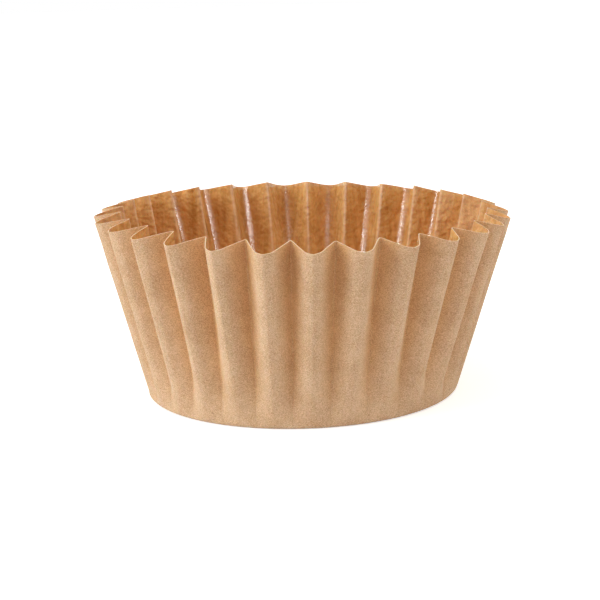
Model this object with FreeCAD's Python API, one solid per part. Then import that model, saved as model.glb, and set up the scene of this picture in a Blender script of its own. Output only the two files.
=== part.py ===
"""A pleated paper cup for baking, pressed in one piece from a flat disc of paper.

A flat round base turns up, over a small fold, into a wall of equal flutes that leans outwards.
The lobes of the flutes lie on a straight cone, from the base to the rim. The creases between them
are sharp. They start at nothing on the base's edge, rise upright for a little way and then lean
outwards too, less than the cone does, so the flutes grow deeper towards the rim.

The frame has its origin in the middle of the base's underside, +Z up, and the middle of one lobe
on +X. All lengths are in millimetres, and all angles in radians.
"""

import FreeCAD, Part
from collections import namedtuple
import math
import os

# Driving sizes of the cup, over the outside of the paper
paper_thickness = 0.15
base_diameter = 53.0        # where the cone of the lobes meets the table
rim_diameter = 70.0         # over the lobes of the rim
lobe_height = 29.8          # from the table to the rim, at a lobe
flute_count = 28

# Driving sizes of the folds
base_fold_radius = 0.8      # inside of the paper, where the base turns up into the wall
rim_lobe_radius = 2.5       # outside of a lobe, at the rim
rim_crease_depth = 3.9      # of the crease behind the lobes, at the rim
upright_height = 4.0        # up to which the creases rise straight up from the base's edge

# How finely each stretch of the wall is drawn, in bands from the base to the rim
fold_bands = 2
upright_bands = 3
leaning_bands = 3

# Sizes that follow from them
base_radius = base_diameter / 2
rim_radius = rim_diameter / 2
half_sector = math.pi / flute_count
wall_lean = math.atan((rim_radius - base_radius) / lobe_height)
fold_turn = math.pi / 2 - wall_lean
outer_fold_radius = base_fold_radius + paper_thickness
flat_radius = base_radius - outer_fold_radius * math.tan(fold_turn / 2)

# One flute in one ring of the wall, from the middle of its lobe to the crease on its +Y side. The
# lobe's round ends where the straight flank begins. The -Y side is its mirror image.
Ring = namedtuple("Ring", "middle round_end crease")


class Skin:
    """The outside or the inside of the paper, as the rings of one flute."""

    def __init__(self, depth):
        """depth is how far the skin lies under the outer one, square to the paper."""
        self.depth = depth
        self.inset = depth * math.cos(wall_lean)
        self.lift = depth * math.sin(wall_lean)

    def wall_point(self, x, y, slant):
        """Point of the wall above (x, y), in the ring that lies this far from the base's edge."""
        reach = math.hypot(x, y) + self.inset - base_radius
        return FreeCAD.Vector(x, y, math.sqrt(slant ** 2 - reach ** 2) + self.lift)

    def fold_ring(self, turn):
        """Ring of the base's fold, where the paper has turned up by an angle: a plain circle."""
        fold_radius = outer_fold_radius - self.depth
        radius = flat_radius + fold_radius * math.sin(turn)
        height = outer_fold_radius - fold_radius * math.cos(turn)
        crease = FreeCAD.Vector(radius * math.cos(half_sector), radius * math.sin(half_sector), height)
        return Ring(FreeCAD.Vector(radius, 0, height), crease, crease)

    def upright_ring(self):
        """Ring where the creases stop rising straight up. Its lobes meet in the creases."""
        slant = upright_height / math.cos(wall_lean)
        lobe = base_radius + upright_height * math.tan(wall_lean)
        half_chord = base_radius * math.sin(half_sector)
        bulge = lobe - base_radius * math.cos(half_sector)
        round_radius = (half_chord ** 2 + bulge ** 2) / (2 * bulge)
        centre = lobe - round_radius
        across = math.sqrt((round_radius - self.inset) ** 2 - (centre * math.sin(half_sector)) ** 2)
        reach = centre * math.cos(half_sector) + across
        crease = self.wall_point(reach * math.cos(half_sector), reach * math.sin(half_sector), slant)
        return Ring(self.wall_point(lobe - self.inset, 0, slant), crease, crease)

    def rim_ring(self):
        """Ring of the rim, with straight flanks that run off the lobe's round into the crease."""
        slant = math.hypot(rim_radius - base_radius, lobe_height)
        crease_radius = rim_radius - rim_crease_depth
        centre = rim_radius - rim_lobe_radius
        across = crease_radius * math.cos(half_sector) - centre
        along = crease_radius * math.sin(half_sector)
        flank_angle = math.atan2(along, across) - math.acos(rim_lobe_radius / math.hypot(across, along))
        round_radius = rim_lobe_radius - self.inset
        reach = crease_radius - self.inset / math.cos(flank_angle - half_sector)
        return Ring(
            self.wall_point(centre + round_radius, 0, slant),
            self.wall_point(centre + round_radius * math.cos(flank_angle),
                            round_radius * math.sin(flank_angle), slant),
            self.wall_point(reach * math.cos(half_sector), reach * math.sin(half_sector), slant),
        )

    def rings(self):
        """All rings of the skin, from the flat base to the rim."""
        foot = self.fold_ring(fold_turn)
        upright = self.upright_ring()
        return (
            [self.fold_ring(fold_turn * band / fold_bands) for band in range(fold_bands)]
            + [between(foot, upright, band / upright_bands) for band in range(upright_bands)]
            + [between(upright, self.rim_ring(), band / leaning_bands) for band in range(leaning_bands + 1)]
        )


def between(low, high, share):
    """Ring on the straight lines from one ring to another, this share of the way up."""
    return Ring(*(start + (end - start) * share for start, end in zip(low, high)))


def mirrored(point):
    """The same point on the flute's -Y side."""
    return FreeCAD.Vector(point.x, -point.y, point.z)


def lobe_edge(ring):
    """The round of a ring's lobe."""
    return Part.Arc(mirrored(ring.round_end), ring.middle, ring.round_end).toShape()


def band_faces(low, high):
    """Faces of one flute between two rings: its lobe, and its flanks where it has any."""
    faces = [Part.makeRuledSurface(lobe_edge(low), lobe_edge(high))]
    if high.round_end != high.crease:
        corners = [low.crease, high.crease, high.round_end, low.round_end]
        if low.round_end == low.crease:
            corners.pop()
        for side in (corners, [mirrored(corner) for corner in corners]):
            faces.append(Part.Face(Part.makePolygon(side + side[:1])))
    return faces


def rim_faces(outer, inner):
    """The cut edge of the paper along one flute."""
    faces = [Part.makeRuledSurface(lobe_edge(outer), lobe_edge(inner))]
    corners = [outer.round_end, outer.crease, inner.crease, inner.round_end]
    for side in (corners, [mirrored(corner) for corner in corners]):
        faces.append(Part.makeRuledSurface(Part.makeLine(side[0], side[1]), Part.makeLine(side[3], side[2])))
    return faces


def all_round(shapes):
    """Copies of one flute's shapes for every flute of the cup."""
    copies = []
    for index in range(flute_count):
        turn = math.degrees(2 * half_sector) * index
        for shape in shapes:
            copy = shape.copy()
            copy.rotate(FreeCAD.Vector(), FreeCAD.Vector(0, 0, 1), turn)
            copies.append(copy)
    return copies


def make_liner():
    """The whole cup as one solid sheet of paper."""
    outer = Skin(0).rings()
    inner = Skin(paper_thickness).rings()
    faces = all_round(rim_faces(outer[-1], inner[-1]))
    for rings in (outer, inner):
        for low, high in zip(rings, rings[1:]):
            faces += all_round(band_faces(low, high))
        faces.append(Part.Face(Part.Wire(all_round([lobe_edge(rings[0])]))))
    shell = Part.makeShell(faces)
    shell.sewShape()
    solid = Part.Solid(shell)
    if solid.Volume < 0:
        solid.reverse()
    return solid


os.makedirs("parts", exist_ok=True)
make_liner().exportStep("parts/liner.step")
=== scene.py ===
"""Dressed model of a pleated paper baking cup that stands on a plain pale table.

The cup is one sheet of brown kraft paper. Its outside is matt, its inside has a greaseproof
gloss, and its cut edge shows pale round the rim. One flute is drawn from the sheet's own
lengths, and a geometry tree repeats it round the cup, makes the pleats a little uneven and gives
the paper its thickness.

Lengths are in metres and angles in radians, except where a name ends in another unit: in
degrees, in millimetres, or in tenths, which are tenths of a millimetre.
"""

import logging
import math
import random
from dataclasses import dataclass
from enum import Enum

import bpy
from mathutils import Matrix, Vector


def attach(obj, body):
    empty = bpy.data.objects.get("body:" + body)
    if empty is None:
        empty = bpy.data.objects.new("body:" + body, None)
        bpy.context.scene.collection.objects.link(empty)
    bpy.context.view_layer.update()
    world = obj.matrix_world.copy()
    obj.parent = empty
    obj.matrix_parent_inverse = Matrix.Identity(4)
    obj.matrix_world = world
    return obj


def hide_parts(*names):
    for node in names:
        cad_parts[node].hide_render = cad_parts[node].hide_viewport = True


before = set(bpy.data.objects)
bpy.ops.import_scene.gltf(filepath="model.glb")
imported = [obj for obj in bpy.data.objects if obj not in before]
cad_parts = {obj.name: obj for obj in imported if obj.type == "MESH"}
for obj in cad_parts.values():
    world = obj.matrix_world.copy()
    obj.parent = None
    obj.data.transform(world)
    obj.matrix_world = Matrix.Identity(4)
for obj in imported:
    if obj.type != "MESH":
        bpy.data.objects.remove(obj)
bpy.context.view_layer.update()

LOG = logging.getLogger("baking_cup")

MILLIMETRE = 0.001
MERGE_DISTANCE = 0.002 * MILLIMETRE

Colour = tuple[float, float, float]
Point = tuple[float, float, float]
Feed = bpy.types.NodeSocket | float | int | tuple | str

WHITE: Colour = (1.0, 1.0, 1.0)


class PaperSide(Enum):
    """The sides of the sheet of paper, by the names of their materials."""

    OUTSIDE = "kraft_outside"
    INSIDE = "greaseproof_inside"
    CUT_EDGE = "cut_edge"


class FluteMark(Enum):
    """What is written on the points of a flute, for the tree and the materials to read.

    The first four lie on the flute itself: the way across it from crease to crease (-1 to 1), up
    the wall (0 to 1), nearness to a crease, and depth under the lobe. The others lie on one loose
    point for each pleat: how far its crease or lobe is turned, moved outwards or lifted.
    """

    ACROSS = "across"
    UP = "up"
    CREASE = "crease"
    DEPTH = "depth"
    CREASE_TURN = "crease_turn"
    CREASE_OUT = "crease_out"
    CREASE_LIFT = "crease_lift"
    LOBE_TURN = "lobe_turn"
    LOBE_OUT = "lobe_out"


def seen_colour(red: int, green: int, blue: int) -> Colour:
    """Turns a colour as a screen shows it into the linear one that a shader takes.

    Args:
        red: Red, 0 to 255.
        green: Green, 0 to 255.
        blue: Blue, 0 to 255.

    Returns:
        The linear colour, each part 0 to 1.
    """
    parts = []
    for level in (red, green, blue):
        share = level / 255
        parts.append(share / 12.92 if share <= 0.04045 else ((share + 0.055) / 1.055) ** 2.4)
    return (parts[0], parts[1], parts[2])


def away_from_cup(azimuth: float, elevation: float, distance: float) -> Vector:
    """Gives the way from the cup to a lamp or a camera.

    Args:
        azimuth: Angle round the cup from its front, -Y, towards +X.
        elevation: Angle up from the table.
        distance: How far the way leads.

    Returns:
        The way, as a vector.
    """
    level = distance * math.cos(elevation)
    return Vector((level * math.sin(azimuth), -level * math.cos(azimuth),
                   distance * math.sin(elevation)))


class NodeWriter:
    """Writes nodes and their links into one node tree."""

    def __init__(self, tree: bpy.types.NodeTree) -> None:
        """Takes the tree to write into."""
        self.tree = tree

    def add(self, kind: str, feeds: dict[str | int, Feed] | None = None,
            **settings: object) -> bpy.types.Node:
        """Adds one node.

        Args:
            kind: Blender's name for the kind of node.
            feeds: For inputs by name or number, a value or the output that feeds it.
            **settings: The node's own settings.

        Returns:
            The new node.
        """
        node = self.tree.nodes.new(kind)
        for name, value in settings.items():
            setattr(node, name, value)
        for key, feed in (feeds or {}).items():
            if isinstance(feed, bpy.types.NodeSocket):
                self.tree.links.new(feed, node.inputs[key])
            else:
                node.inputs[key].default_value = feed
        return node

    def sum(self, operation: str, *feeds: Feed) -> bpy.types.NodeSocket:
        """Adds a node of arithmetic.

        Args:
            operation: Blender's name for the operation.
            *feeds: Its values or the outputs that feed it, in order.

        Returns:
            The result's output.
        """
        return self.add("ShaderNodeMath", dict(enumerate(feeds)), operation=operation).outputs[0]

    def sway(self, level: Feed, texture: Feed, amount: float) -> bpy.types.NodeSocket:
        """Moves a level up and down with a texture.

        Args:
            level: The level where the texture is a half.
            texture: The texture, 0 to 1.
            amount: How far the level moves from one end of the texture to the other.

        Returns:
            The moved level's output.
        """
        return self.sum("MULTIPLY_ADD", self.sum("SUBTRACT", texture, 0.5), amount, level)

    def vector_sum(self, operation: str, *feeds: Feed) -> bpy.types.NodeSocket:
        """Adds a node of vector arithmetic and returns its vector, as sum does for numbers."""
        return self.add("ShaderNodeVectorMath", dict(enumerate(feeds)),
                        operation=operation).outputs[0]

    def scaled(self, vector: Feed, factor: Feed) -> bpy.types.NodeSocket:
        """Scales a vector by a factor."""
        return self.add("ShaderNodeVectorMath", {"Vector": vector, "Scale": factor},
                        operation="SCALE").outputs[0]

    def noise(self, place: Feed, scale: Feed, detail: float, roughness: float = 0.5,
              colour: bool = False) -> bpy.types.NodeSocket:
        """Adds a noise texture.

        Args:
            place: Where it is read.
            scale: How many of its waves go into a metre.
            detail: How many finer layers it has.
            roughness: How strong they are.
            colour: Whether to return three noises as a colour, not one as a number.

        Returns:
            The noise's output.
        """
        feeds = {"Vector": place, "Scale": scale, "Detail": detail, "Roughness": roughness}
        return self.add("ShaderNodeTexNoise", feeds).outputs[1 if colour else 0]

    def ramp(self, feed: Feed, low: float, high: float, start: float = 0.0, end: float = 1.0,
             smooth: bool = True) -> bpy.types.NodeSocket:
        """Spreads a stretch of values over another stretch.

        Args:
            feed: The value, or the output that gives it.
            low: Value that becomes start.
            high: Value that becomes end.
            start: Result at low and below it.
            end: Result at high and above it.
            smooth: Whether the result eases in and out.

        Returns:
            The result's output.
        """
        feeds = {0: feed, 1: low, 2: high, 3: start, 4: end}
        kind = "SMOOTHSTEP" if smooth else "LINEAR"
        return self.add("ShaderNodeMapRange", feeds, interpolation_type=kind).outputs[0]

    def blend(self, share: Feed, first: Feed, second: Feed,
              kind: str = "MIX") -> bpy.types.NodeSocket:
        """Blends two colours.

        Args:
            share: How much of the second, 0 to 1.
            first: The first colour.
            second: The second colour.
            kind: Blender's name for the way to blend.

        Returns:
            The blended colour's output.
        """
        node = self.add("ShaderNodeMix", data_type="RGBA", blend_type=kind)
        for number, feed in ((0, share), (6, first), (7, second)):
            if isinstance(feed, bpy.types.NodeSocket):
                self.tree.links.new(feed, node.inputs[number])
            else:
                value = (*feed, 1.0) if isinstance(feed, tuple) else feed
                node.inputs[number].default_value = value
        return node.outputs[2]

    def showing_ray(self) -> bpy.types.NodeSocket:
        """Tells the rays that show a background from those that carry its light.

        Returns:
            An output of 1 for a camera, glossy or transmission ray, and of 0 for any other.
        """
        ray = self.add("ShaderNodeLightPath").outputs
        seen = self.sum("MAXIMUM", ray["Is Camera Ray"], ray["Is Glossy Ray"])
        return self.sum("MAXIMUM", seen, ray["Is Transmission Ray"])


@dataclass(frozen=True)
class FluteShape:
    """Shape of one flute on the outside of the paper, drawn from the sheet's own lengths.

    Each ring of the wall is a circle on the flat sheet, and its length sets how steep the flanks
    of the flutes stand there. The middle of the lobe lies on +X. Points and rows lie closer at
    the lobe's middle, the base's edge and the foot of the wall, and the spreads say how much.
    """

    base_radius: float = 26.5 * MILLIMETRE  # where the cone of the lobes meets the table
    rim_radius: float = 35.0 * MILLIMETRE  # over the lobes
    lobe_height: float = 29.7 * MILLIMETRE  # of the rim, at a lobe
    flute_count: int = 28
    fold_radius: float = 0.95 * MILLIMETRE  # where the base turns up into the wall
    rim_lobe_length: float = 2.25 * MILLIMETRE  # half a lobe's round, along the rim
    ridge_share: float = 0.38  # of the lobe's turn
    ridge_width: float = 0.14  # share of the lobe's length
    shoulder_start: float = 0.2  # share of the lobe's length
    crease_radius: float = 0.3 * MILLIMETRE
    crease_mark_width: float = 0.35 * MILLIMETRE  # to each side of a crease's bottom
    full_depth: float = 3.0 * MILLIMETRE  # under the lobe, where the mark of depth is 1
    rim_take_up: float = 0.91  # share of the sheet's edge, in the flutes of the rim
    lobe_steps: int = 11
    lobe_spread: float = 1.4
    flank_steps: int = 4
    crease_steps: int = 4
    base_steps: int = 4
    base_spread: float = 0.6
    fold_steps: int = 4
    wall_steps: int = 26
    wall_spread: float = 1.4
    halvings: int = 40  # of the range in which a flank's angle is sought

    @property
    def half_sector(self) -> float:
        """Half of one flute's angle round the cup."""
        return math.pi / self.flute_count

    @property
    def lean(self) -> float:
        """How far the line of the lobes leans out from upright."""
        return math.atan2(self.rim_radius - self.base_radius, self.lobe_height)

    @property
    def slant(self) -> float:
        """Length of the wall along a lobe."""
        return math.hypot(self.rim_radius - self.base_radius, self.lobe_height)

    @property
    def setback(self) -> float:
        """How far the base's fold reaches from the edge that it rounds."""
        return self.fold_radius * math.tan((math.pi / 2 - self.lean) / 2)

    @property
    def flat_radius(self) -> float:
        """Radius of the flat of the base."""
        return self.base_radius - self.setback

    def lobe_round(self, flank_angle: float) -> list[tuple[float, float]]:
        """Draws half the round of a lobe that is one unit long, from its middle to the flank.

        The lobe bends most at a soft ridge in its middle and at a shoulder before each flank.

        Args:
            flank_angle: How far the flank turns in from the way round the cup.

        Returns:
            Its points, each as the way inwards and the way round the cup.
        """
        points = [(0.0, 0.0)]
        ends = [(step / self.lobe_steps) ** self.lobe_spread for step in range(self.lobe_steps + 1)]
        for start, end in zip(ends, ends[1:]):
            share = (start + end) / 2
            ridge = min(1.0, share / self.ridge_width)
            shoulder = max(0.0, (share - self.shoulder_start) / (1 - self.shoulder_start))
            shoulder *= shoulder * (3 - 2 * shoulder)
            turn = flank_angle * (self.ridge_share * ridge + (1 - self.ridge_share) * shoulder)
            inwards, along = points[-1]
            points.append((inwards + (end - start) * math.sin(turn),
                           along + (end - start) * math.cos(turn)))
        return points

    def corner(self, outer_radius: float, lobe_length: float,
               flank_angle: float) -> tuple[float, float]:
        """Works out the straight flank between a lobe's round and the crease.

        Args:
            outer_radius: Radius over the lobe.
            lobe_length: Length of half the lobe's round.
            flank_angle: How far the flank turns in from the way round the cup.

        Returns:
            The flank's length, and the radius at which it meets its mirror image.
        """
        inwards, along = self.lobe_round(flank_angle)[-1]
        end_x = outer_radius - lobe_length * inwards
        end_y = lobe_length * along
        slope = math.tan(self.half_sector)
        flank = (end_x * slope - end_y) / (math.cos(flank_angle) + math.sin(flank_angle) * slope)
        corner_x = end_x - flank * math.sin(flank_angle)
        corner_y = end_y + flank * math.cos(flank_angle)
        return flank, math.hypot(corner_x, corner_y)

    def lobe_length_at(self, outer_radius: float, flank_angle: float,
                       lobe_share: float | None) -> float:
        """Gives the length of half a lobe's round in a ring.

        Args:
            outer_radius: Radius over the lobe.
            flank_angle: How far the flank turns in from the way round the cup.
            lobe_share: Share of the pitch that the lobe's round takes, or None at the rim.

        Returns:
            The length.
        """
        if lobe_share is None:
            return self.rim_lobe_length
        width = lobe_share * outer_radius * math.sin(self.half_sector)
        return width / self.lobe_round(flank_angle)[-1][1]

    def steepest(self, slant: float, lobe_share: float | None) -> float:
        """Finds the steepest flank that the paper of a ring has the length for.

        Args:
            slant: How far up a lobe the ring lies.
            lobe_share: Share of the pitch that the lobe's round takes, or None at the rim.

        Returns:
            The flank's angle.
        """
        outer_radius = self.base_radius + slant * math.sin(self.lean)
        fold_length = self.fold_radius * (math.pi / 2 - self.lean)
        paper = self.half_sector * (self.flat_radius + fold_length + slant - self.setback)
        paper *= 1 + (self.rim_take_up - 1) * slant / self.slant
        low, high = self.half_sector, math.pi / 2 - self.half_sector
        for _ in range(self.halvings):
            angle = (low + high) / 2
            lobe_length = self.lobe_length_at(outer_radius, angle, lobe_share)
            flank, corner_radius = self.corner(outer_radius, lobe_length, angle)
            fits = lobe_length + flank <= paper and corner_radius >= self.base_radius
            low, high = (angle, high) if fits else (low, angle)
        return low

    def half_ring(self, slant: float) -> list[tuple[Point, float]]:
        """Draws half a flute in one ring, from the middle of the lobe to the crease's bottom.

        Args:
            slant: How far up a lobe the ring lies.

        Returns:
            Its points, each with its distance from the crease's bottom along the paper.
        """
        rim_angle = self.steepest(self.slant, None)
        rim_width = self.rim_lobe_length * self.lobe_round(rim_angle)[-1][1]
        share = rim_width / (self.rim_radius * math.sin(self.half_sector))
        outer_radius = self.base_radius + slant * math.sin(self.lean)
        angle = self.steepest(slant, share)
        lobe_length = self.lobe_length_at(outer_radius, angle, share)
        flank, corner_radius = self.corner(outer_radius, lobe_length, angle)
        turn = angle - self.half_sector
        round_off = self.crease_radius * math.tan(turn)

        flat = [(outer_radius - lobe_length * inwards, lobe_length * along)
                for inwards, along in self.lobe_round(angle)]
        end_x, end_y = flat[-1]
        for step in range(1, self.flank_steps + 1):
            along = (flank - round_off) * step / self.flank_steps
            flat.append((end_x - along * math.sin(angle), end_y + along * math.cos(angle)))
        centre = corner_radius + self.crease_radius / math.cos(turn)
        for step in range(1, self.crease_steps + 1):
            way = self.half_sector + math.pi + turn * (1 - step / self.crease_steps)
            flat.append((centre * math.cos(self.half_sector) + self.crease_radius * math.cos(way),
                         centre * math.sin(self.half_sector) + self.crease_radius * math.sin(way)))

        ring: list[tuple[Point, float]] = []
        distance = 0.0
        for index in range(len(flat) - 1, -1, -1):
            x, y = flat[index]
            if ring:
                distance += math.dist(flat[index], flat[index + 1])
            reach = math.hypot(x, y) - self.base_radius
            ring.insert(0, ((x, y, math.sqrt(slant ** 2 - reach ** 2)), distance))
        return ring

    def rows(self) -> list[tuple[list[Point], list[float], float]]:
        """Draws half a flute from the base to the rim.

        Returns:
            Rows from the base's inner rings to the rim, each with its points, their distances
            from the crease and the row's share of the way up the wall.
        """
        foot = self.half_ring(self.setback)
        turns = [math.atan2(point[1], point[0]) for point, _ in foot]
        gaps = [gap for _, gap in foot]

        def circle(radius: float, height: float) -> list[Point]:
            """Draws a row as an arc of a circle."""
            return [(radius * math.cos(turn), radius * math.sin(turn), height) for turn in turns]

        rows = []
        for step in range(1, self.base_steps + 1):
            share = (step / self.base_steps) ** self.base_spread
            rows.append((circle(self.flat_radius * share, 0.0), gaps, 0.0))
        for step in range(1, self.fold_steps):
            turned = (math.pi / 2 - self.lean) * step / self.fold_steps
            radius = self.flat_radius + self.fold_radius * math.sin(turned)
            rows.append((circle(radius, self.fold_radius * (1 - math.cos(turned))), gaps, 0.0))
        for step in range(self.wall_steps + 1):
            share = (step / self.wall_steps) ** self.wall_spread
            ring = self.half_ring(self.setback + (self.slant - self.setback) * share)
            rows.append(([point for point, _ in ring], [gap for _, gap in ring], share))
        return rows


@dataclass(frozen=True)
class Pleating:
    """How unevenly the pleats of the cup were pressed, and how far its rim went askew.

    The pleats that the photograph shows well are set from it, first those of the back and then
    those of the front. Chance sets the others, and how far each crease goes in or out. Pleats
    count round the cup from the lobe on +X, each with the crease before its lobe. Wander, play
    and rise are chance, either way.
    """

    rim_shift: Point = (0.64 * MILLIMETRE, -0.03 * MILLIMETRE, 0.0)
    rim_tilt: float = math.radians(-1.3)  # slope along X
    rim_saddle: float = 0.4 * MILLIMETRE  # rise at both ends of X
    crease_lift: float = 0.42 * MILLIMETRE
    crease_shift: float = 0.45 * MILLIMETRE  # outwards at +X, inwards at -X
    crease_wander: float = 0.010
    crease_play: float = 0.15 * MILLIMETRE
    crease_rise: float = 0.12 * MILLIMETRE
    lobe_wander: float = 0.006
    lobe_out: float = 0.15 * MILLIMETRE
    lobe_play: float = 0.12 * MILLIMETRE
    back_first: int = 2
    back_degrees: tuple[float, ...] = (1.8, 1.3, 0.6, 0.7, 1.0, 1.7, 2.7, 2.9, 3.0, 2.5, 1.6)
    front_first: int = 15
    front_degrees: tuple[float, ...] = (
        -0.3, 0.5, 1.8, 1.0, 0.4, 0.1, 0.3, 0.1, 0.4, 0.7, 1.1, 1.9)
    front_lobe_degrees: tuple[float, ...] = (
        -1.0, -1.5, -2.0, -1.4, -0.6, 0.1, -0.5, -0.4, 0.0, 0.4, 0.8)
    front_lobe_tenths: tuple[float, ...] = (
        1.0, 1.5, 2.0, 1.0, 2.0, 6.0, 2.0, 1.0, -1.0, 1.0, 2.0)
    seed: int = 7

    def marks(self, count: int) -> dict[FluteMark, list[float]]:
        """Draws the unevenness of each pleat.

        Args:
            count: Number of flutes.

        Returns:
            For each kind of mark, one value for each pleat at the rim.
        """
        chance = random.Random(self.seed)
        spans = {
            FluteMark.CREASE_TURN: self.crease_wander,
            FluteMark.CREASE_OUT: self.crease_play,
            FluteMark.CREASE_LIFT: self.crease_rise,
            FluteMark.LOBE_TURN: self.lobe_wander,
            FluteMark.LOBE_OUT: self.lobe_play,
        }
        marks = {mark: [chance.uniform(-span, span) for _ in range(count)]
                 for mark, span in spans.items()}
        for mark, level in ((FluteMark.CREASE_LIFT, self.crease_lift),
                            (FluteMark.LOBE_OUT, self.lobe_out)):
            marks[mark] = [level + play for play in marks[mark]]
        for index, play in enumerate(marks[FluteMark.CREASE_OUT]):
            sideways = math.cos(2 * math.pi * (index - 0.5) / count)
            marks[FluteMark.CREASE_OUT][index] = play + self.crease_shift * sideways
        degree, tenth = math.radians(1), 0.1 * MILLIMETRE
        for mark, first, unit, values in (
                (FluteMark.CREASE_TURN, self.back_first, degree, self.back_degrees),
                (FluteMark.CREASE_TURN, self.front_first, degree, self.front_degrees),
                (FluteMark.LOBE_TURN, self.front_first, degree, self.front_lobe_degrees),
                (FluteMark.LOBE_OUT, self.front_first, tenth, self.front_lobe_tenths)):
            for index, value in enumerate(values, first):
                marks[mark][index] = value * unit
        return marks


class PleatTree:
    """Geometry tree that turns one flute into the whole cup of paper."""

    lift_power = 3.0  # keeps the creases' lift to the top of the wall
    soft_bend = 0.8  # an edge that bends less is shaded smooth

    def __init__(self) -> None:
        """Builds the tree."""
        self.tree = bpy.data.node_groups.new("pleated_cup", "GeometryNodeTree")
        self.tree.is_modifier = True
        self.nodes = NodeWriter(self.tree)
        self.sockets: dict[str, str] = {}
        self._socket("Flute", "NodeSocketGeometry")
        for name in ("Paper Thickness", "Unevenness", "Buckle Depth", "Buckle Width",
                     "Rim Tilt", "Rim Saddle"):
            self._socket(name, "NodeSocketFloat")
        self._socket("Rim Shift", "NodeSocketVector")
        self._socket("Seed", "NodeSocketInt")
        for side in PaperSide:
            self._socket(side.value, "NodeSocketMaterial")
        self.tree.interface.new_socket("Cup", in_out="OUTPUT", socket_type="NodeSocketGeometry")
        self._build()

    def _socket(self, name: str, kind: str) -> None:
        """Adds one named input, and notes the identifier that a modifier sets it by."""
        socket = self.tree.interface.new_socket(name, in_out="INPUT", socket_type=kind)
        self.sockets[name] = socket.identifier

    def _mark(self, mark: FluteMark) -> bpy.types.NodeSocket:
        """Reads one kind of mark."""
        return self.nodes.add("GeometryNodeInputNamedAttribute", {"Name": mark.value},
                              data_type="FLOAT").outputs[0]

    def _merged(self, mesh: bpy.types.NodeSocket) -> bpy.types.NodeSocket:
        """Joins the points of a mesh that lie on each other."""
        return self.nodes.add("GeometryNodeMergeByDistance",
                              {"Geometry": mesh, "Distance": MERGE_DISTANCE}).outputs[0]

    def _build(self) -> None:
        """Writes the nodes."""
        nodes = self.nodes
        given = nodes.add("NodeGroupInput").outputs
        neighbours = nodes.add("GeometryNodeInputMeshVertexNeighbors").outputs["Face Count"]
        parts = nodes.add("GeometryNodeSeparateGeometry",
                          {"Geometry": given["Flute"], "Selection": neighbours}, domain="POINT")
        flute, marks = parts.outputs["Selection"], parts.outputs["Inverted"]
        count = nodes.add("GeometryNodeAttributeDomainSize", {"Geometry": marks},
                          component="MESH").outputs[0]
        index = nodes.add("GeometryNodeInputIndex").outputs[0]
        turn = nodes.sum("DIVIDE", nodes.sum("MULTIPLY", index, 2 * math.pi), count)
        spots = nodes.add("GeometryNodeMeshToPoints", {"Mesh": marks}).outputs[0]
        turned = nodes.add("ShaderNodeCombineXYZ", {"Z": turn}).outputs[0]
        placed = nodes.add("GeometryNodeInstanceOnPoints",
                           {"Points": spots, "Instance": flute, "Rotation": turned}).outputs[0]
        numbered = nodes.add("GeometryNodeStoreNamedAttribute",
                             {"Geometry": placed, "Name": "flute", "Value": index},
                             data_type="INT", domain="INSTANCE").outputs[0]
        whole = nodes.add("GeometryNodeRealizeInstances", {"Geometry": numbered}).outputs[0]
        uneven = self._uneven(whole, marks, count, given)
        self._thicken(self._merged(uneven), given)

    def _uneven(self, whole: bpy.types.NodeSocket, marks: bpy.types.NodeSocket,
                count: bpy.types.NodeSocket,
                given: bpy.types.bpy_prop_collection) -> bpy.types.NodeSocket:
        """Writes the nodes that make the pleats uneven.

        Args:
            whole: The flutes round the cup.
            marks: Loose points, one for each pleat, that carry its unevenness.
            count: Number of flutes.
            given: The tree's inputs.

        Returns:
            The uneven flutes.
        """
        nodes = self.nodes
        own = nodes.add("GeometryNodeInputNamedAttribute", {"Name": "flute"},
                        data_type="INT").outputs[0]
        following = nodes.sum("MODULO", nodes.sum("ADD", own, 1.0), count)
        across = self._mark(FluteMark.ACROSS)
        up = nodes.sum("MULTIPLY", self._mark(FluteMark.UP), given["Unevenness"])
        share = nodes.ramp(across, -1.0, 1.0)
        at_crease = nodes.sum("MULTIPLY", across, across)
        at_lobe = nodes.sum("SUBTRACT", 1.0, at_crease)

        def pleat(mark: FluteMark, number: bpy.types.NodeSocket) -> bpy.types.NodeSocket:
            """Reads a pleat's mark by the pleat's number."""
            feeds = {"Geometry": marks, "Value": self._mark(mark), "Index": number}
            return nodes.add("GeometryNodeSampleIndex", feeds, data_type="FLOAT",
                             domain="POINT").outputs[0]

        def creases(mark: FluteMark) -> bpy.types.NodeSocket:
            """Eases a mark from the crease on one side of the flute to that on the other."""
            step = nodes.sum("SUBTRACT", pleat(mark, following), pleat(mark, own))
            return nodes.sum("MULTIPLY_ADD", step, share, pleat(mark, own))

        lobe_turn = nodes.sum("MULTIPLY", pleat(FluteMark.LOBE_TURN, own), at_lobe)
        turn = nodes.sum("ADD", creases(FluteMark.CREASE_TURN), lobe_turn)
        turn = nodes.sum("MULTIPLY", turn, up)
        lobe_out = nodes.sum("MULTIPLY", pleat(FluteMark.LOBE_OUT, own), at_lobe)
        out = nodes.sum("MULTIPLY_ADD", creases(FluteMark.CREASE_OUT), at_crease, lobe_out)
        lift = nodes.sum("MULTIPLY", creases(FluteMark.CREASE_LIFT), at_crease)
        lift = nodes.sum("MULTIPLY", lift, nodes.sum("POWER", up, self.lift_power))

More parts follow.
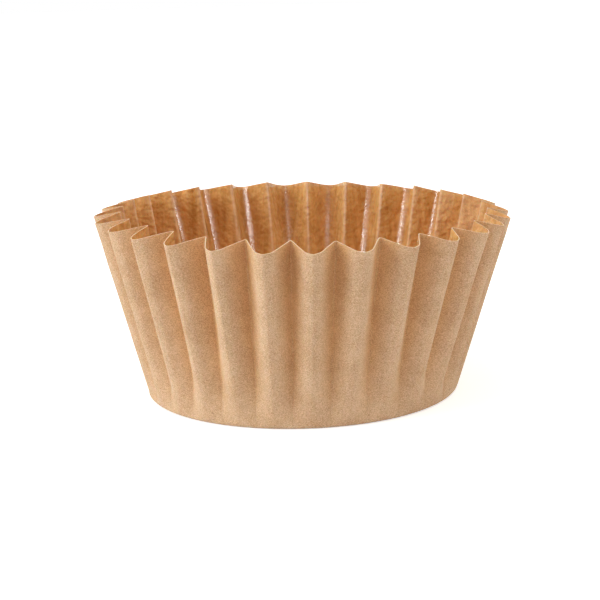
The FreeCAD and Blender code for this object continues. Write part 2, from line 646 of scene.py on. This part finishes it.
        place = nodes.add("GeometryNodeInputPosition").outputs[0]
        waves = nodes.sum("DIVIDE", 1.0, given["Buckle Width"])
        buckles = nodes.add("ShaderNodeTexNoise",
                            {"Vector": place, "W": given["Seed"], "Scale": waves, "Detail": 1.0},
                            noise_dimensions="4D").outputs[0]
        buckles = nodes.sum("SUBTRACT", buckles, 0.5)
        buckles = nodes.sum("MULTIPLY", buckles, given["Buckle Depth"])
        out = nodes.sum("MULTIPLY", nodes.sum("ADD", out, buckles), up)
        moved = nodes.add("ShaderNodeVectorRotate", {"Vector": place, "Angle": turn},
                          rotation_type="Z_AXIS").outputs[0]
        level = nodes.vector_sum("MULTIPLY", moved, (1.0, 1.0, 0.0))
        outwards = nodes.scaled(nodes.vector_sum("NORMALIZE", level), out)
        moved = nodes.vector_sum("ADD", moved, outwards)
        sideways = nodes.add("ShaderNodeSeparateXYZ", {"Vector": place}).outputs["X"]
        slope = nodes.sum("MULTIPLY_ADD", sideways, given["Rim Saddle"], given["Rim Tilt"])
        askew = nodes.sum("MULTIPLY", sideways, slope)
        lift = nodes.sum("MULTIPLY_ADD", askew, up, lift)
        upwards = nodes.add("ShaderNodeCombineXYZ", {"Z": lift}).outputs[0]
        moved = nodes.vector_sum("ADD", moved, upwards)
        moved = nodes.vector_sum("ADD", moved, nodes.scaled(given["Rim Shift"], up))
        return nodes.add("GeometryNodeSetPosition",
                         {"Geometry": whole, "Position": moved}).outputs[0]

    def _thicken(self, sheet: bpy.types.NodeSocket,
                 given: bpy.types.bpy_prop_collection) -> None:
        """Writes the nodes that give the sheet its inside and its cut edge, and their materials.

        Args:
            sheet: The outside of the paper.
            given: The tree's inputs.
        """
        nodes = self.nodes
        turned = nodes.add("GeometryNodeFlipFaces", {"Mesh": sheet}).outputs[0]
        raised = nodes.add("GeometryNodeExtrudeMesh",
                           {"Mesh": turned, "Offset Scale": given["Paper Thickness"],
                            "Individual": False}, mode="FACES").outputs
        both = nodes.add("GeometryNodeJoinGeometry")
        self.tree.links.new(sheet, both.inputs[0])
        self.tree.links.new(raised["Mesh"], both.inputs[0])
        closed = self._merged(both.outputs[0])
        bend = nodes.add("GeometryNodeInputMeshEdgeAngle").outputs["Unsigned Angle"]
        soft = nodes.add("FunctionNodeCompare", {0: bend, 1: self.soft_bend}, data_type="FLOAT",
                         operation="LESS_THAN").outputs[0]
        smooth = nodes.add("GeometryNodeSetShadeSmooth", {"Geometry": closed},
                           domain="FACE").outputs[0]
        smooth = nodes.add("GeometryNodeSetShadeSmooth",
                           {"Geometry": smooth, "Shade Smooth": soft}, domain="EDGE").outputs[0]
        dressed = nodes.add("GeometryNodeRealizeInstances", {"Geometry": smooth}).outputs[0]
        for side, faces in ((PaperSide.OUTSIDE, {}),
                            (PaperSide.INSIDE, {"Selection": raised["Top"]}),
                            (PaperSide.CUT_EDGE, {"Selection": raised["Side"]})):
            feeds = {"Geometry": dressed, "Material": given[side.value], **faces}
            dressed = nodes.add("GeometryNodeSetMaterial", feeds).outputs[0]
        nodes.add("NodeGroupOutput", {0: dressed})


class PaperTexture:
    """Shader node group of what shows in unbleached paper: mottling, grain and dark fibres."""

    grain_squash: Point = (1.0, 1.0, 2.2)
    fibre_squash: Point = (0.5, 0.5, 2.4)
    fibre_bend = 1.2 * MILLIMETRE
    fibre_waves = 1.5  # of a fibre's bends, in the length of a cell
    fibre_core = 0.05  # distance in a cell up to which its fibre is dark
    fibre_end = 0.16  # distance at which that darkness ends

    def __init__(self) -> None:
        """Builds the group."""
        self.group = bpy.data.node_groups.new("paper_texture", "ShaderNodeTree")
        face = self.group.interface
        face.new_socket("Place", in_out="INPUT", socket_type="NodeSocketVector")
        for name in ("Mottle Size", "Grain Size", "Fibre Size", "Fibre Share"):
            face.new_socket(name, in_out="INPUT", socket_type="NodeSocketFloat")
        for name in ("Mottle", "Grain", "Fibres"):
            face.new_socket(name, in_out="OUTPUT", socket_type="NodeSocketFloat")
        self._build()

    def _build(self) -> None:
        """Writes the nodes."""
        nodes = NodeWriter(self.group)
        given = nodes.add("NodeGroupInput").outputs
        place = given["Place"]
        mottle_scale = nodes.sum("DIVIDE", 1.0, given["Mottle Size"])
        mottle = nodes.noise(place, mottle_scale, detail=3.0, roughness=0.6)
        grain_scale = nodes.sum("DIVIDE", 1.0, given["Grain Size"])
        grain_place = nodes.vector_sum("MULTIPLY", place, self.grain_squash)
        grain = nodes.noise(grain_place, grain_scale, detail=3.0, roughness=0.65)

        bend_scale = nodes.sum("DIVIDE", self.fibre_waves, given["Fibre Size"])
        bend = nodes.noise(place, bend_scale, detail=1.0, colour=True)
        fibre_place = nodes.vector_sum("ADD", place, nodes.scaled(bend, self.fibre_bend))
        fibre_place = nodes.vector_sum("MULTIPLY", fibre_place, self.fibre_squash)
        fibre_scale = nodes.sum("DIVIDE", 1.0, given["Fibre Size"])
        cells = nodes.add("ShaderNodeTexVoronoi", {
            "Vector": fibre_place, "Scale": fibre_scale, "Randomness": 1.0}).outputs
        thin = nodes.ramp(cells["Distance"], self.fibre_core, self.fibre_end, 1.0, 0.0)
        pick = nodes.add("ShaderNodeSeparateColor", {"Color": cells["Color"]}).outputs[0]
        chosen = nodes.sum("LESS_THAN", pick, given["Fibre Share"])
        fibres = nodes.sum("MULTIPLY", thin, chosen)
        nodes.add("NodeGroupOutput", {"Mottle": mottle, "Grain": grain, "Fibres": fibres})


@dataclass(frozen=True)
class PaperFinish:
    """Look of one side of the sheet of paper.

    Grain, mottle and streaks say how strongly each shows in the colour, bump how strongly the
    grain stands out, and ripple how strongly fine ripples break the gloss.
    """

    side: PaperSide
    light: Colour
    dark: Colour
    grain: float
    roughness: float
    bump: float
    roughness_play: float = 0.0
    mottle: float = 1.1
    streaks: float = 0.0
    fibre: Colour = WHITE
    fibre_share: float = 0.0
    fibre_strength: float = 0.45
    # Colour painted along the creases: painted shade on the outside, partly also the pressed
    # paper's own darker tone, and a painted highlight along the ridges on the inside.
    crease: Colour = WHITE
    crease_tone_and_light_strength: float = 0.0
    hollow_shade: Colour = WHITE  # painted shade: multiplies the colour, darker and warmer, deep between the lobes
    hollow_shade_strength: float = 0.0
    ripple: float = 0.0
    specular: float = 0.5  # 0.5 is what the refraction gives
    coat: float = 0.0
    coat_roughness: float = 0.14
    refraction: float = 1.45
    translucency: float = 0.4
    scatter: Point = (1.0, 0.45, 0.18)  # of red, green and blue, in scatter lengths
    scatter_length: float = 0.3 * MILLIMETRE
    mottle_size: float = 4.5 * MILLIMETRE
    grain_size: float = 0.2 * MILLIMETRE
    grain_height: float = 0.05 * MILLIMETRE
    fibre_size: float = 1.5 * MILLIMETRE
    streak_scale: float = 900.0  # streaks in a metre
    streak_stretch: float = 0.07  # share of that scale, up the wall
    ripple_scale: float = 900.0  # ripples in a metre
    ripple_height: float = 0.6 * MILLIMETRE

    def _colour(self, nodes: NodeWriter, place: bpy.types.NodeSocket,
                paper: bpy.types.bpy_prop_collection) -> bpy.types.NodeSocket:
        """Writes the nodes that give the paper's colour, with painted shade between the lobes and
        painted light along the creases.

        Args:
            nodes: Writer of the material's nodes.
            place: The place on the piece.
            paper: Outputs of the paper's texture.

        Returns:
            The colour's output.
        """
        upright = nodes.vector_sum("MULTIPLY", place, (1.0, 1.0, self.streak_stretch))
        streak = nodes.noise(upright, self.streak_scale, detail=2.0)
        tone = nodes.sway(0.5, paper["Grain"], self.grain)
        tone = nodes.sway(tone, paper["Mottle"], self.mottle)
        tone = nodes.sway(tone, streak, self.streaks)
        tone = nodes.ramp(tone, 0.0, 1.0, smooth=False)
        colour = nodes.blend(tone, self.dark, self.light)
        fibres = nodes.sum("MULTIPLY", paper["Fibres"], self.fibre_strength)
        colour = nodes.blend(fibres, colour, self.fibre)

        def mark(kind: FluteMark) -> bpy.types.NodeSocket:
            """Reads one kind of mark on the paper."""
            return nodes.add("ShaderNodeAttribute", attribute_name=kind.value,
                             attribute_type="GEOMETRY").outputs["Fac"]

        # Painted shade: the colour turns darker and warmer deep between the lobes.
        hollow_shade = nodes.ramp(mark(FluteMark.DEPTH), 0.0, 1.0, 0.0, self.hollow_shade_strength)
        colour = nodes.blend(hollow_shade, colour, self.hollow_shade, "MULTIPLY")
        # Painted along the creases: shade outside, partly the pressed paper's darker tone, and a
        # highlight along the ridges inside.
        crease_tone_and_light = nodes.sum("MULTIPLY", mark(FluteMark.CREASE), self.crease_tone_and_light_strength)
        return nodes.blend(crease_tone_and_light, colour, self.crease)

    def material(self, texture: PaperTexture) -> bpy.types.Material:
        """Builds the material.

        Args:
            texture: The paper's mottling, grain and fibres.

        Returns:
            The new material.
        """
        material = bpy.data.materials.new(self.side.value)
        material.use_nodes = True
        material.node_tree.nodes.clear()
        nodes = NodeWriter(material.node_tree)
        place = nodes.add("ShaderNodeTexCoord").outputs["Object"]
        paper = nodes.add("ShaderNodeGroup", {
            "Place": place, "Mottle Size": self.mottle_size, "Grain Size": self.grain_size,
            "Fibre Size": self.fibre_size, "Fibre Share": self.fibre_share,
        }, node_tree=texture.group).outputs
        fine = nodes.add("ShaderNodeBump", {
            "Strength": self.bump, "Distance": self.grain_height, "Height": paper["Grain"]})
        wide = nodes.add("ShaderNodeBump", {
            "Strength": self.ripple, "Distance": self.ripple_height,
            "Height": nodes.noise(place, self.ripple_scale, detail=1.0),
            "Normal": fine.outputs[0]})
        shader = nodes.add("ShaderNodeBsdfPrincipled", {
            "Base Color": self._colour(nodes, place, paper),
            "Roughness": nodes.sway(self.roughness, paper["Mottle"], self.roughness_play),
            "IOR": self.refraction,
            "Specular IOR Level": self.specular,
            "Coat Weight": self.coat,
            "Coat Roughness": self.coat_roughness,
            "Normal": wide.outputs[0],
            "Subsurface Weight": self.translucency,
            "Subsurface Radius": self.scatter,
            "Subsurface Scale": self.scatter_length})
        nodes.add("ShaderNodeOutputMaterial", {"Surface": shader.outputs[0]})
        return material


OUTSIDE_FINISH = PaperFinish(
    side=PaperSide.OUTSIDE,
    light=seen_colour(226, 196, 162),
    dark=seen_colour(184, 146, 108),
    grain=5.0,
    roughness=0.86,
    bump=0.35,
    roughness_play=0.1,
    fibre=seen_colour(122, 84, 54),
    fibre_share=0.1,
    # painted shade along the creases, partly the pressed paper's own darker tone
    crease=seen_colour(150, 106, 68),
    crease_tone_and_light_strength=0.1,
    # painted shade deep between the lobes
    hollow_shade=seen_colour(248, 226, 190),
    hollow_shade_strength=0.85,
    ripple=0.03,
)
INSIDE_FINISH = PaperFinish(
    side=PaperSide.INSIDE,
    light=seen_colour(234, 186, 120),
    dark=seen_colour(190, 132, 64),
    grain=1.3,
    roughness=0.45,
    bump=0.1,
    roughness_play=0.2,
    streaks=1.5,
    fibre=seen_colour(128, 82, 46),
    fibre_share=0.05,
    # painted highlight along the ridges that the creases make inside
    crease=seen_colour(240, 210, 178),
    crease_tone_and_light_strength=0.4,
    ripple=1.0,
    specular=0.1,
    coat=0.8,
)
EDGE_FINISH = PaperFinish(
    side=PaperSide.CUT_EDGE,
    light=seen_colour(242, 216, 184),
    dark=seen_colour(226, 194, 158),
    grain=3.0,
    roughness=0.9,
    bump=0.2,
)


@dataclass
class BakingCup:
    """The paper cup: its flute, how its pleats were pressed, and the finishes of its sides."""

    flute: FluteShape = FluteShape()
    pleating: Pleating = Pleating()
    thickness: float = 0.15 * MILLIMETRE
    buckle_depth: float = 0.25 * MILLIMETRE  # of the wall between its pleats
    buckle_width: float = 7.0 * MILLIMETRE
    finishes: tuple[PaperFinish, ...] = (OUTSIDE_FINISH, INSIDE_FINISH, EDGE_FINISH)

    def flute_mesh(self) -> bpy.types.Mesh:
        """Draws one flute from crease to crease, with a loose point for each pleat of the cup.

        Returns:
            The mesh, with its marks written on its points.
        """
        flute = self.flute
        points: list[Point] = [(0.0, 0.0, 0.0)]
        marks: dict[FluteMark, list[float]] = {mark: [0.0] for mark in FluteMark}
        starts = []
        for row, gaps, up in flute.rows():
            starts.append(len(points))
            for side in (-1, 1):
                order = range(len(row) - 1, 0, -1) if side < 0 else range(len(row))
                for column in order:
                    x, y, z = row[column]
                    depth = math.hypot(*row[0][:2]) - math.hypot(x, y)
                    near = max(0.0, 1 - gaps[column] / flute.crease_mark_width)
                    points.append((x, side * y, z))
                    marks[FluteMark.ACROSS].append(side * math.atan2(y, x) / flute.half_sector)
                    marks[FluteMark.UP].append(up)
                    marks[FluteMark.CREASE].append(near if z > 0 else 0.0)
                    marks[FluteMark.DEPTH].append(depth / flute.full_depth)
        width = starts[1] - starts[0]
        faces: list[tuple[int, ...]] = []
        for column in range(width - 1):
            faces.append((0, starts[0] + column + 1, starts[0] + column))
        for low, high in zip(starts, starts[1:]):
            for column in range(width - 1):
                faces.append((low + column, low + column + 1, high + column + 1, high + column))
        own_points = len(points)
        points += [(0.0, 0.0, 0.0)] * flute.flute_count
        for mark, values in self.pleating.marks(flute.flute_count).items():
            marks[mark] = [0.0] * own_points + values

        mesh = bpy.data.meshes.new("flute")
        mesh.from_pydata(points, [], faces)
        for mark, values in marks.items():
            values += [0.0] * (len(points) - len(values))
            mesh.attributes.new(mark.value, "FLOAT", "POINT").data.foreach_set("value", values)
        mesh.update()
        return mesh

    def build(self) -> bpy.types.Object:
        """Builds the cup and dresses it.

        Returns:
            The finished cup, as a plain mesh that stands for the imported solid.
        """
        texture = PaperTexture()
        tree = PleatTree()
        settings = {
            "Paper Thickness": self.thickness,
            "Unevenness": 1.0,
            "Buckle Depth": self.buckle_depth,
            "Buckle Width": self.buckle_width,
            "Rim Tilt": self.pleating.rim_tilt,
            "Rim Saddle": self.pleating.rim_saddle / self.flute.rim_radius ** 2,
            "Rim Shift": self.pleating.rim_shift,
            "Seed": self.pleating.seed,
        }
        for finish in self.finishes:
            settings[finish.side.value] = finish.material(texture)
        flute = self.flute_mesh()
        flute.materials.append(settings[PaperSide.OUTSIDE.value])
        cup = bpy.data.objects.new("paper_cup", flute)
        bpy.context.scene.collection.objects.link(cup)
        modifier = cup.modifiers.new("pleats", "NODES")
        modifier.node_group = tree.tree
        for name, value in settings.items():
            modifier[tree.sockets[name]] = value
        graph = bpy.context.evaluated_depsgraph_get()
        plain = bpy.data.meshes.new_from_object(
            cup.evaluated_get(graph), preserve_all_data_layers=True, depsgraph=graph)
        cup.modifiers.remove(modifier)
        cup.data = plain
        plain.name = "paper_cup"
        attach(cup, "root")
        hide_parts("liner")
        LOG.info("paper cup: %d points, %d faces, %d materials",
                 len(plain.vertices), len(plain.polygons), len(plain.materials))
        return cup


@dataclass
class Table:
    """Plain pale table top under the cup."""

    half_width: float = 1.5
    drop: float = 0.02 * MILLIMETRE
    colour: Colour = (0.86, 0.86, 0.86)
    glow: float = 0.55  # only for the rays that show it

    def build(self) -> bpy.types.Object:
        """Builds the table top.

        Returns:
            The table top.
        """
        reach = self.half_width
        mesh = bpy.data.meshes.new("table_top")
        corners = [(-reach, -reach), (reach, -reach), (reach, reach), (-reach, reach)]
        mesh.from_pydata([(x, y, -self.drop) for x, y in corners], [], [(0, 1, 2, 3)])
        material = bpy.data.materials.new("table_top")
        material.use_nodes = True
        material.node_tree.nodes.clear()
        nodes = NodeWriter(material.node_tree)
        shader = nodes.add("ShaderNodeBsdfPrincipled", {
            "Base Color": (*self.colour, 1.0),
            "Roughness": 0.9,
            "Specular IOR Level": 0.1,
            "Emission Color": (*WHITE, 1.0),
            "Emission Strength": nodes.sum("MULTIPLY", nodes.showing_ray(), self.glow)})
        nodes.add("ShaderNodeOutputMaterial", {"Surface": shader.outputs[0]})
        mesh.materials.append(material)
        table = bpy.data.objects.new("table_top", mesh)
        bpy.context.scene.collection.objects.link(table)
        LOG.info("table top: %.1f m wide", 2 * reach)
        return table


@dataclass(frozen=True)
class Lamp:
    """Rectangular lamp that faces the cup, for its plain light, its highlights or both."""

    name: str
    azimuth: float
    elevation: float
    width: float
    height: float
    power: float
    colour: Colour = WHITE
    diffuse: bool = True
    glossy: bool = True
    distance: float = 0.7

    def build(self, aim: Vector) -> bpy.types.Object:
        """Builds the lamp.

        Args:
            aim: The point that it faces.

        Returns:
            The lamp.
        """
        lamp = bpy.data.lights.new(self.name, "AREA")
        lamp.shape = "RECTANGLE"
        lamp.size = self.width
        lamp.size_y = self.height
        lamp.energy = self.power
        lamp.color = self.colour
        placed = bpy.data.objects.new(self.name, lamp)
        away = away_from_cup(self.azimuth, self.elevation, self.distance)
        placed.location = aim + away
        placed.rotation_euler = away.to_track_quat("Z", "Y").to_euler()
        placed.visible_camera = False
        placed.visible_diffuse = self.diffuse
        placed.visible_glossy = self.glossy
        bpy.context.scene.collection.objects.link(placed)
        LOG.info("lamp %s: %.2f W", self.name, self.power)
        return placed


LEFT_SOFTBOX = Lamp(
    name="left_softbox",
    azimuth=math.radians(-74),
    elevation=math.radians(24),
    width=0.5,
    height=0.6,
    power=3.3,
    colour=(0.93, 1.0, 1.08),
    glossy=False,
)
RIGHT_SOFTBOX = Lamp(
    name="right_softbox",
    azimuth=math.radians(74),
    elevation=math.radians(22),
    width=0.5,
    height=0.6,
    power=0.85,
    glossy=False,
)
GLINT_STRIP = Lamp(
    name="glint_strip",
    azimuth=math.radians(-4),
    elevation=math.radians(20),
    width=0.9,
    height=0.02,
    power=2.4,
    diffuse=False,
)


@dataclass
class Studio:
    """The light on the cup, and the white round it."""

    lamps: tuple[Lamp, ...] = (LEFT_SOFTBOX, RIGHT_SOFTBOX, GLINT_STRIP)
    aim: Point = (0.0, 0.0, 15.0 * MILLIMETRE)
    ambient: float = 0.72
    ambient_colour: Colour = (1.0, 0.95, 0.88)

    def build(self) -> None:
        """Builds the lamps and the world."""
        for lamp in self.lamps:
            lamp.build(Vector(self.aim))
        world = bpy.data.worlds.new("white_room")
        world.use_nodes = True
        world.node_tree.nodes.clear()
        nodes = NodeWriter(world.node_tree)
        room = tuple(self.ambient * part for part in self.ambient_colour)
        colour = nodes.blend(nodes.showing_ray(), room, WHITE)
        white = nodes.add("ShaderNodeBackground", {"Color": colour, "Strength": 1.0})
        nodes.add("ShaderNodeOutputWorld", {"Surface": white.outputs[0]})
        bpy.context.scene.world = world
        LOG.info("white room: ambient %.2f", self.ambient)


@dataclass
class PhotoCamera:
    """Camera at the photograph's viewpoint."""

    azimuth: float = math.radians(-2.6)
    elevation: float = math.radians(12.44)
    roll: float = math.radians(-1.69)
    distance: float = 0.2866
    target: Point = (-0.12 * MILLIMETRE, 0.0, 15.1 * MILLIMETRE)
    focal_pixels: float = 1675.0
    frame_pixels: float = 600.0
    sensor_millimetres: float = 36.0
    clip: tuple[float, float] = (0.01, 20.0)

    def build(self) -> bpy.types.Object:
        """Builds the camera and makes it the scene's own.

        Returns:
            The camera.
        """
        lens = bpy.data.cameras.new("photo_camera")
        lens.sensor_width = self.sensor_millimetres
        lens.lens = self.focal_pixels / self.frame_pixels * self.sensor_millimetres
        lens.clip_start, lens.clip_end = self.clip
        camera = bpy.data.objects.new("photo_camera", lens)
        away = away_from_cup(self.azimuth, self.elevation, self.distance)
        turn = away.to_track_quat("Z", "Y").to_matrix() @ Matrix.Rotation(self.roll, 3, "Z")
        camera.location = Vector(self.target) + away
        camera.rotation_euler = turn.to_euler()
        bpy.context.scene.collection.objects.link(camera)
        bpy.context.scene.camera = camera
        LOG.info("camera: %.1f mm lens", lens.lens)
        return camera


def main() -> None:
    """Builds the camera, the light, the table and the cup."""
    logging.basicConfig(level=logging.INFO, format="%(name)s: %(message)s")
    bpy.context.scene.view_settings.view_transform = "Standard"
    PhotoCamera().build()
    Studio().build()
    Table().build()
    BakingCup().build()


if __name__ == "__main__":
    main()
